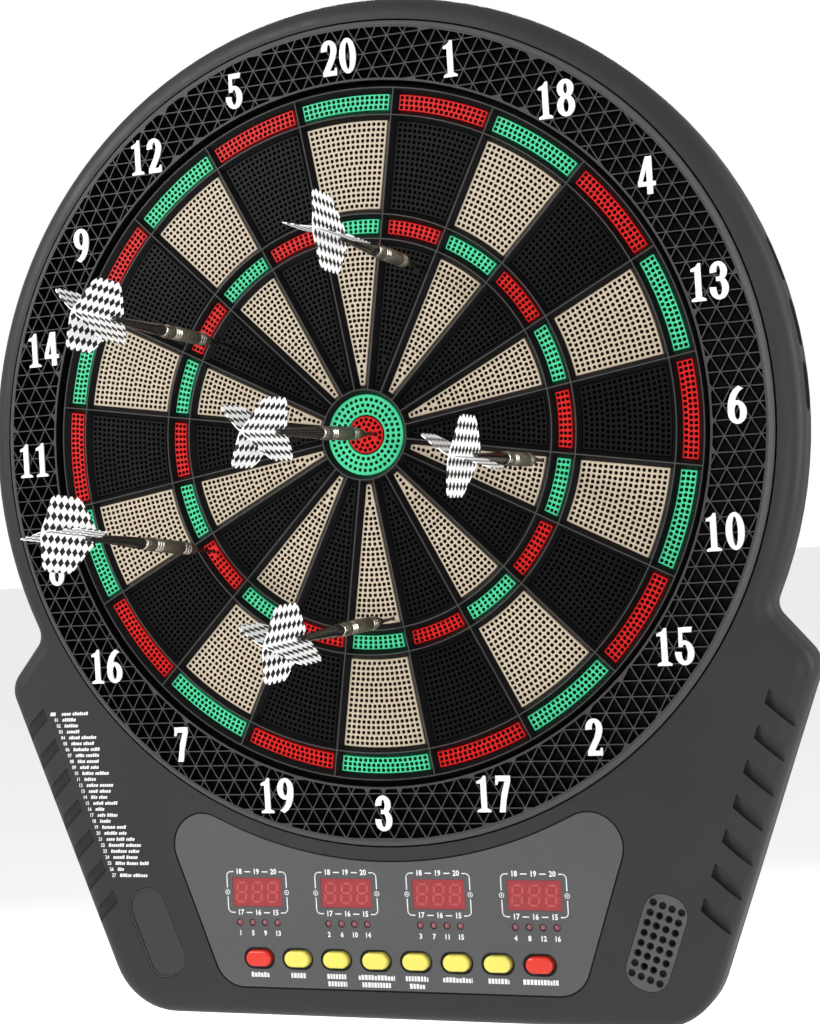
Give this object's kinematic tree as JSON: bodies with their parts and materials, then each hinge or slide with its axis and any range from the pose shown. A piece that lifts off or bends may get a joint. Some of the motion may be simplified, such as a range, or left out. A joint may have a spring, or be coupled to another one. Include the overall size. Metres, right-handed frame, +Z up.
{
  "type": "electronic dartboard",
  "caption": "Wall-hung electronic dartboard: perforated scoring segments in a ribbed spider, lattice number ring, keyed control panel with red displays, and soft-tip darts in play.",
  "frame": {"origin": "centre of the bull, on the face of the scoring segments", "axes": "the board hangs in the XZ plane and faces -Y; +Z is up; +X is to the player's right"},
  "size_m": [0.436, 0.179, 0.512],
  "materials": {
    "case_grey": "fine moulded texture",
    "case_grey_back": "coarse moulded texture",
    "ring_black": "semi-matte",
    "white_figures": "smooth",
    "spider_black": "semi-matte",
    "pad_rubber": "matt",
    "film": "polyester film",
    "fibreboard": "pressed board",
    "panel_grey": "printed fascia",
    "red_window": "tinted",
    "display_white": "diffused red face",
    "led_red": "diffused red",
    "pcb_green": "solder resist",
    "connector_cream": "smooth",
    "switch_black": "smooth",
    "grille_grey": "satin",
    "cap_dark": "satin",
    "speaker_black": "satin",
    "cell_wrap": "printed wrap",
    "spring_steel": "plated",
    "lead_red": "insulated wire",
    "screw_steel": "zinc plated",
    "segments_light": "beige with green rings",
    "segments_dark": "black with red rings",
    "bull_green": "satin",
    "bull_red": "satin",
    "button_red": "silicone-like satin",
    "button_yellow": "silicone-like satin",
    "dart_black": "moulded shaft and tip, knurled metal barrel, printed flight"
  },
  "bodies": {
    "board": {"front_housing": "case_grey", "rear_cover": "case_grey_back", "number_ring": "ring_black", "numerals": "white_figures", "spider": "spider_black", "matrix_pad": "pad_rubber", "membrane_front": "film", "membrane_rear": "film", "backing_plate": "fibreboard", "control_panel": "panel_grey", "display_windows": "red_window", "display_modules": "display_white", "player_leds": "led_red", "main_pcb": "pcb_green", "pcb_connectors": "connector_cream", "tact_switches": "switch_black", "speaker_grille": "grille_grey", "blank_cap": "cap_dark", "speaker": "speaker_black", "batteries": "cell_wrap", "battery_contacts": "spring_steel", "leads": "lead_red", "screws": "screw_steel"},
    "sector_20": {"sector_20": "segments_light"},
    "sector_1": {"sector_1": "segments_dark"},
    "sector_18": {"sector_18": "segments_light"},
    "sector_4": {"sector_4": "segments_dark"},
    "sector_13": {"sector_13": "segments_light"},
    "sector_6": {"sector_6": "segments_dark"},
    "sector_10": {"sector_10": "segments_light"},
    "sector_15": {"sector_15": "segments_dark"},
    "sector_2": {"sector_2": "segments_light"},
    "sector_17": {"sector_17": "segments_dark"},
    "sector_3": {"sector_3": "segments_light"},
    "sector_19": {"sector_19": "segments_dark"},
    "sector_7": {"sector_7": "segments_light"},
    "sector_16": {"sector_16": "segments_dark"},
    "sector_8": {"sector_8": "segments_light"},
    "sector_11": {"sector_11": "segments_dark"},
    "sector_14": {"sector_14": "segments_light"},
    "sector_9": {"sector_9": "segments_dark"},
    "sector_12": {"sector_12": "segments_light"},
    "sector_5": {"sector_5": "segments_dark"},
    "bull_outer": {"bull_outer": "bull_green"},
    "bull_inner": {"bull_inner": "bull_red"},
    "button_1": {"button_1": "button_red"},
    "button_2": {"button_2": "button_yellow"},
    "button_3": {"button_3": "button_yellow"},
    "button_4": {"button_4": "button_yellow"},
    "button_5": {"button_5": "button_yellow"},
    "button_6": {"button_6": "button_yellow"},
    "button_7": {"button_7": "button_yellow"},
    "button_8": {"button_8": "button_red"},
    "battery_cover": {"battery_cover": "case_grey_back"},
    "dart_1": {"dart_1": "dart_black"},
    "dart_2": {"dart_2": "dart_black"},
    "dart_3": {"dart_3": "dart_black"},
    "dart_4": {"dart_4": "dart_black"},
    "dart_5": {"dart_5": "dart_black"},
    "dart_6": {"dart_6": "dart_black"}
  },
  "joints": [
    {"name": "press_sector_20", "type": "slide", "parent": "board", "child": "sector_20", "axis": [0, 1, 0], "range_m": [0, 0.001], "stiffness_N_per_m": 600},
    {"name": "press_sector_1", "type": "slide", "parent": "board", "child": "sector_1", "axis": [0, 1, 0], "range_m": [0, 0.001], "stiffness_N_per_m": 600},
    {"name": "press_sector_18", "type": "slide", "parent": "board", "child": "sector_18", "axis": [0, 1, 0], "range_m": [0, 0.001], "stiffness_N_per_m": 600},
    {"name": "press_sector_4", "type": "slide", "parent": "board", "child": "sector_4", "axis": [0, 1, 0], "range_m": [0, 0.001], "stiffness_N_per_m": 600},
    {"name": "press_sector_13", "type": "slide", "parent": "board", "child": "sector_13", "axis": [0, 1, 0], "range_m": [0, 0.001], "stiffness_N_per_m": 600},
    {"name": "press_sector_6", "type": "slide", "parent": "board", "child": "sector_6", "axis": [0, 1, 0], "range_m": [0, 0.001], "stiffness_N_per_m": 600},
    {"name": "press_sector_10", "type": "slide", "parent": "board", "child": "sector_10", "axis": [0, 1, 0], "range_m": [0, 0.001], "stiffness_N_per_m": 600},
    {"name": "press_sector_15", "type": "slide", "parent": "board", "child": "sector_15", "axis": [0, 1, 0], "range_m": [0, 0.001], "stiffness_N_per_m": 600},
    {"name": "press_sector_2", "type": "slide", "parent": "board", "child": "sector_2", "axis": [0, 1, 0], "range_m": [0, 0.001], "stiffness_N_per_m": 600},
    {"name": "press_sector_17", "type": "slide", "parent": "board", "child": "sector_17", "axis": [0, 1, 0], "range_m": [0, 0.001], "stiffness_N_per_m": 600},
    {"name": "press_sector_3", "type": "slide", "parent": "board", "child": "sector_3", "axis": [0, 1, 0], "range_m": [0, 0.001], "stiffness_N_per_m": 600},
    {"name": "press_sector_19", "type": "slide", "parent": "board", "child": "sector_19", "axis": [0, 1, 0], "range_m": [0, 0.001], "stiffness_N_per_m": 600},
    {"name": "press_sector_7", "type": "slide", "parent": "board", "child": "sector_7", "axis": [0, 1, 0], "range_m": [0, 0.001], "stiffness_N_per_m": 600},
    {"name": "press_sector_16", "type": "slide", "parent": "board", "child": "sector_16", "axis": [0, 1, 0], "range_m": [0, 0.001], "stiffness_N_per_m": 600},
    {"name": "press_sector_8", "type": "slide", "parent": "board", "child": "sector_8", "axis": [0, 1, 0], "range_m": [0, 0.001], "stiffness_N_per_m": 600},
    {"name": "press_sector_11", "type": "slide", "parent": "board", "child": "sector_11", "axis": [0, 1, 0], "range_m": [0, 0.001], "stiffness_N_per_m": 600},
    {"name": "press_sector_14", "type": "slide", "parent": "board", "child": "sector_14", "axis": [0, 1, 0], "range_m": [0, 0.001], "stiffness_N_per_m": 600},
    {"name": "press_sector_9", "type": "slide", "parent": "board", "child": "sector_9", "axis": [0, 1, 0], "range_m": [0, 0.001], "stiffness_N_per_m": 600},
    {"name": "press_sector_12", "type": "slide", "parent": "board", "child": "sector_12", "axis": [0, 1, 0], "range_m": [0, 0.001], "stiffness_N_per_m": 600},
    {"name": "press_sector_5", "type": "slide", "parent": "board", "child": "sector_5", "axis": [0, 1, 0], "range_m": [0, 0.001], "stiffness_N_per_m": 600},
    {"name": "press_bull_outer", "type": "slide", "parent": "board", "child": "bull_outer", "axis": [0, 1, 0], "range_m": [0, 0.001], "stiffness_N_per_m": 600},
    {"name": "press_bull_inner", "type": "slide", "parent": "board", "child": "bull_inner", "axis": [0, 1, 0], "range_m": [0, 0.001], "stiffness_N_per_m": 600},
    {"name": "press_button_1", "type": "slide", "parent": "board", "child": "button_1", "axis": [0, 1, 0], "range_m": [0, 0.0009], "stiffness_N_per_m": 800},
    {"name": "press_button_2", "type": "slide", "parent": "board", "child": "button_2", "axis": [0, 1, 0], "range_m": [0, 0.0009], "stiffness_N_per_m": 800},
    {"name": "press_button_3", "type": "slide", "parent": "board", "child": "button_3", "axis": [0, 1, 0], "range_m": [0, 0.0009], "stiffness_N_per_m": 800},
    {"name": "press_button_4", "type": "slide", "parent": "board", "child": "button_4", "axis": [0, 1, 0], "range_m": [0, 0.0009], "stiffness_N_per_m": 800},
    {"name": "press_button_5", "type": "slide", "parent": "board", "child": "button_5", "axis": [0, 1, 0], "range_m": [0, 0.0009], "stiffness_N_per_m": 800},
    {"name": "press_button_6", "type": "slide", "parent": "board", "child": "button_6", "axis": [0, 1, 0], "range_m": [0, 0.0009], "stiffness_N_per_m": 800},
    {"name": "press_button_7", "type": "slide", "parent": "board", "child": "button_7", "axis": [0, 1, 0], "range_m": [0, 0.0009], "stiffness_N_per_m": 800},
    {"name": "press_button_8", "type": "slide", "parent": "board", "child": "button_8", "axis": [0, 1, 0], "range_m": [0, 0.0009], "stiffness_N_per_m": 800},
    {"name": "pull_battery_cover", "type": "slide", "parent": "board", "child": "battery_cover", "axis": [0, 1, 0], "range_m": [0, 0.02]},
    {"name": "pull_dart_1", "type": "slide", "parent": "sector_1", "child": "dart_1", "axis": [0.0558, -0.9984, 0.0087], "range_m": [0, 0.05]},
    {"name": "pull_dart_2", "type": "slide", "parent": "sector_9", "child": "dart_2", "axis": [-0.0192, -0.9989, 0.0419], "range_m": [0, 0.05]},
    {"name": "pull_dart_3", "type": "slide", "parent": "bull_inner", "child": "dart_3", "axis": [-0.0227, -0.9997, -0.0122], "range_m": [0, 0.05]},
    {"name": "pull_dart_4", "type": "slide", "parent": "sector_10", "child": "dart_4", "axis": [0.0349, -0.9994, 0.0017], "range_m": [0, 0.05]},
    {"name": "pull_dart_5", "type": "slide", "parent": "sector_16", "child": "dart_5", "axis": [-0.0833, -0.9918, 0.0972], "range_m": [0, 0.05]},
    {"name": "pull_dart_6", "type": "slide", "parent": "sector_3", "child": "dart_6", "axis": [-0.014, -0.9998, -0.0175], "range_m": [0, 0.05]}
  ]
}
